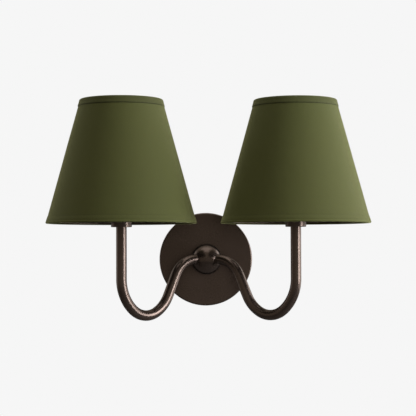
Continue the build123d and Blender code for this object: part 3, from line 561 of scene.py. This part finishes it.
def offset_path(path, t):
    """A strip of cloth of thickness t that follows path on its left side: a closed loop of points with run lengths."""
    n = len(path)
    normals, runs, run = [], [], 0.0
    for i in range(n):
        (x0, y0), (x1, y1) = path[max(i - 1, 0)], path[min(i + 1, n - 1)]
        d = hypot(x1 - x0, y1 - y0)
        normals.append((-(y1 - y0) / d, (x1 - x0) / d))
        if i:
            run += hypot(path[i][0] - path[i - 1][0], path[i][1] - path[i - 1][1])
        runs.append(run)
    near = [(x, y, 0.0, s) for (x, y), s in zip(path, runs)]
    far = [(x + t * nx, y + t * ny, 1.0, s) for (x, y), (nx, ny), s in zip(path, normals, runs)]
    return near, far, run


def fine(path, step):
    """The path with more points on its straight runs."""
    out = [path[0]]
    for (x0, y0), (x1, y1) in zip(path, path[1:]):
        d = hypot(x1 - x0, y1 - y0)
        k = max(1, int(d / step))
        for i in range(1, k + 1):
            out.append((x0 + (x1 - x0) * i / k, y0 + (y1 - y0) * i / k))
    return out


def arc(cx, cy, r, a0, a1, k):
    return [(cx + r * cos(radians(a0 + (a1 - a0) * i / k)), cy + r * sin(radians(a0 + (a1 - a0) * i / k))) for i in range(k + 1)]


SEAM_HALF = 5.0      # the panel's lap, half its width
TAPE_CLOTH = 0.42


def tape_loop(path, t, hem, lip):
    """A folded tape's section: the cloth follows path with thickness t, and its two faces close into one loop. hem and
    lip are not used.
    """
    near, far, total = offset_path(path, t)
    shaped = []
    for x, y, side, s in far:
        shaped.append((x, y, side, s))
    loop = near + shaped[::-1]
    return loop, total


cloth_pieces = {}
for side, sx in SIDES:
    seed = 1.0 if sx < 0 else 2.7
    seam = 0.0           # the lap faces the wall

    def panel_shift(a, z, face, run, seed=seed):
        d = (a if a < pi else a - 2 * pi) * shade_r(z)
        bulge = ripple(a, z, 0.10, seed)
        lap = 0.0
        if face > 0.5:
            # the upper lay of the lap ends in a small step on one side and fades on the other
            lap = 0.38 * smooth((d + SEAM_HALF) / 0.8) * (1 - smooth((d - SEAM_HALF) / 6.0))
        return bulge * smooth((z - PANEL_LOW_Z) / 12) * smooth((PANEL_HIGH_Z - z) / 12) + lap

    panel = ring_piece(
        side + "_shade_cloth",
        panel_profile(PANEL_LOW_Z + 1.6, PANEL_HIGH_Z, FABRIC_T - 0.02, 40),
        sx, 288, panel_shift,
        lambda a, r, z, face, run: flat_place(a, r),
    )
    panel.data.materials.append(made["olive_fabric"])
    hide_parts(side + "_shade_fabric")
    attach(panel, side + "_shade")

    # top tape: from its low outer edge, up the panel, round the wire, down inside
    z0 = 183.0
    lift = 0.12
    w = WIRE_R + 0.22
    slant = degrees(atan2(1.0, SLOPE))
    outer = [(shade_r(z0) + lift, z0), (shade_r(186.5) + lift, 186.5), (shade_r(187.9) + lift + 0.10, 187.9)]
    crown_r = 1.95
    cx, cz = top_wire_r + 0.62, SHADE_TOP_Z - TAPE_CLOTH - crown_r + 1.0
    crown = arc(cx, cz, crown_r, 12, 90, 7) + arc(cx - 1.1, cz, crown_r, 90, 176, 7)
    inner = [(cx - 1.1 - crown_r - 0.02, cz - 1.5), (cx - 1.1 - crown_r - 0.05, TOP_WIRE_Z - 3.6)]
    path = fine(outer, 0.7) + crown + fine(inner, 0.8)
    loop, total = tape_loop(path[::-1], TAPE_CLOTH, 4.0, 0.3)

    def top_shift(a, z, face, run, seed=seed, total=total):
        edge = smooth((run - (total - 5.0)) / 5.0)
        pucker = 0.05 * sin(67 * a + 3 * seed) * edge + 0.035 * sin(41 * a - seed) * edge
        thick = (0.16 * smooth((run - (total - 4.2)) / 1.2) - 0.34 * smooth((run - (total - 1.0)) / 1.0)) * face
        lapped = (a if a < pi else a - 2 * pi) * 50.0 + 14.0
        join = 0.35 * smooth((lapped + 4.0) / 0.6) * (1 - smooth((lapped - 4.0) / 4.0)) * face
        return ripple(a, 0.0, 0.07, seed + 4) + pucker * face + thick + join * 0.6 * smooth((run - 6.0) / 3.0)

    top = ring_piece(
        side + "_top_tape_cloth", loop, sx, 288, top_shift,
        lambda a, r, z, face, run, total=total: (a * 50.0 * MM, (total - run) * MM),
    )
    top.data.materials.append(top_tape_painted_shade)
    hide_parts(side + "_top_tape")
    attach(top, side + "_shade")

    # bottom tape: from its high outer edge, down the panel, round the wire, up inside
    z1 = 52.0
    crown_r = 1.72
    bx, bz = bottom_wire_r + 0.62, SHADE_BOTTOM_Z + TAPE_CLOTH + crown_r + 0.22
    outer = [(shade_r(z1) + 0.04, z1), (shade_r(48.6) + 0.06, 48.6), (shade_r(46.7) + 0.08, 46.7)]
    roll = 0.95          # the wire's roll under the tape, standing out from the panel
    low = bz - crown_r
    crown = (arc(shade_r(45.8) - 0.45, low + roll, roll, 62, -90, 12)
             + arc(bx - 0.55, bz, crown_r, -90, -152, 6))
    path = fine(outer, 0.7) + crown
    loop, total = tape_loop(path, -TAPE_CLOTH, 4.0, 0.3)
    near, far, total = offset_path(path, TAPE_CLOTH)
    loop = near + far[::-1]

    def bottom_shift(a, z, face, run, seed=seed, total=total):
        edge = 1 - smooth(run / 5.0)
        pucker = 0.05 * sin(97 * a + 2 * seed) * edge + 0.035 * sin(61 * a - seed) * edge
        thick = -0.38 * (1 - smooth(run / 4.4)) * face
        lapped = (a if a < pi else a - 2 * pi) * 88.0 - 16.0
        join = 0.35 * smooth((lapped + 4.0) / 0.6) * (1 - smooth((lapped - 4.0) / 4.0)) * face
        return ripple(a, 0.0, 0.08, seed + 7) + pucker * face + thick + join * 0.6 * (1 - smooth((run - 8.0) / 2.0))

    bottom = ring_piece(
        side + "_bottom_tape_cloth", loop, sx, 384, bottom_shift,
        lambda a, r, z, face, run: (a * 88.0 * MM * 1.0, run * MM),
    )
    bottom.data.materials.append(made["olive_tape"])
    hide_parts(side + "_bottom_tape")
    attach(bottom, side + "_shade")

    cloth_pieces[side] = (panel, top, bottom)


# ===================================================================== stage
def area_light(name, azimuth, elevation, distance, width, height, power, colour=(1, 1, 1), aim=(0, -0.09, 0.06)):
    """A soft box. Azimuth 0 stands where the camera looks from, 90 to the right."""
    data = bpy.data.lights.new(name, "AREA")
    data.shape = "RECTANGLE"
    data.size, data.size_y = width, height
    data.energy = power
    data.color = colour
    ob = bpy.data.objects.new(name, data)
    scene.collection.objects.link(ob)
    a, e = radians(azimuth), radians(elevation)
    at = Vector(aim) + distance * Vector((sin(a) * cos(e), -cos(a) * cos(e), sin(e)))
    ob.location = at
    ob.rotation_mode = "QUATERNION"
    ob.rotation_quaternion = (Vector(aim) - at).to_track_quat("-Z", "Y")
    return ob


area_light("key", 65, 11, 1.35, 0.44, 1.20, 21.5, (0.965, 1.0, 1.03))
area_light("right_rim", 108, 8, 1.6, 1.5, 1.6, 16.0)
area_light("left_rim", -112, 10, 1.8, 1.2, 1.6, 4.0)
area_light("overhead", 0, 82, 1.7, 1.8, 1.4, 7.4)

world = bpy.data.worlds.new("studio")
scene.world = world
world.use_nodes = True
wt = world.node_tree
wt.nodes.clear()
tc = wt.nodes.new("ShaderNodeTexCoord")
sep = wt.nodes.new("ShaderNodeSeparateXYZ")
wt.links.new(tc.outputs["Generated"], sep.inputs[0])
up = wt.nodes.new("ShaderNodeMapRange")
up.inputs["From Min"].default_value = -1.0
up.inputs["From Max"].default_value = 1.0
up.inputs["To Min"].default_value = 0.09
up.inputs["To Max"].default_value = 0.45
wt.links.new(sep.outputs["Z"], up.inputs["Value"])
soft = wt.nodes.new("ShaderNodeBackground")
soft.inputs["Color"].default_value = (1.0, 0.93, 0.78, 1)
wt.links.new(up.outputs["Result"], soft.inputs["Strength"])
seen = wt.nodes.new("ShaderNodeBackground")
seen.inputs["Color"].default_value = (0.9216, 0.9216, 0.9216, 1)
seen.inputs["Strength"].default_value = 1.0
path_node = wt.nodes.new("ShaderNodeLightPath")
pick = wt.nodes.new("ShaderNodeMixShader")
out = wt.nodes.new("ShaderNodeOutputWorld")
wt.links.new(path_node.outputs["Is Camera Ray"], pick.inputs[0])
wt.links.new(soft.outputs[0], pick.inputs[1])
wt.links.new(seen.outputs[0], pick.inputs[2])
wt.links.new(pick.outputs[0], out.inputs["Surface"])

# a round pale floor well below the light, whose rim fades into the backdrop
me = bpy.data.meshes.new("floor")
bm = bmesh.new()
bmesh.ops.create_circle(bm, cap_ends=True, segments=96, radius=2.2)
bm.to_mesh(me)
bm.free()
floor = bpy.data.objects.new("floor", me)
floor.location = (0.0, -0.1, -0.75)
scene.collection.objects.link(floor)
fm, ft = new_material("floor_pale")
sepf = ft.add("ShaderNodeSeparateXYZ")
ft.put(sepf.inputs[0], ft.coord())
rr = ft.math("SQRT", ft.math("ADD", ft.math("MULTIPLY", sepf.outputs[0], sepf.outputs[0]),
                             ft.math("MULTIPLY", sepf.outputs[1], sepf.outputs[1])))
fade = ft.span(rr, 0.7, 2.0, 0.0, 1.0)
diff = ft.add("ShaderNodeBsdfDiffuse")
paint = ft.mix(ft.span(ft.noise(ft.coord(), 30.0, 3.0), 0.3, 0.7, 0.0, 1.0), (0.79, 0.79, 0.79), (0.81, 0.81, 0.81))
glow = ft.add("ShaderNodeEmission")
glow.inputs["Color"].default_value = (0.9216, 0.9216, 0.9216, 1)
ray = ft.add("ShaderNodeLightPath")
ft.put(glow.inputs["Strength"], ft.span(ray.outputs["Is Camera Ray"], 0.0, 1.0, 0.10, 1.0))
ft.put(diff.inputs["Color"], ft.mix(ray.outputs["Is Camera Ray"], (0.16, 0.16, 0.16), paint))
fmix = ft.add("ShaderNodeMixShader")
ft.put(fmix.inputs[0], fade)
ft.put(fmix.inputs[1], diff.outputs[0])
ft.put(fmix.inputs[2], glow.outputs[0])
clear = ft.add("ShaderNodeBsdfTransparent")
below = ft.add("ShaderNodeNewGeometry")
faces = ft.add("ShaderNodeMixShader")
ft.put(faces.inputs[0], below.outputs["Backfacing"])
ft.put(faces.inputs[1], fmix.outputs[0])
ft.put(faces.inputs[2], clear.outputs[0])
fout = ft.add("ShaderNodeOutputMaterial")
ft.put(fout.inputs["Surface"], faces.outputs[0])
floor.data.materials.append(fm)
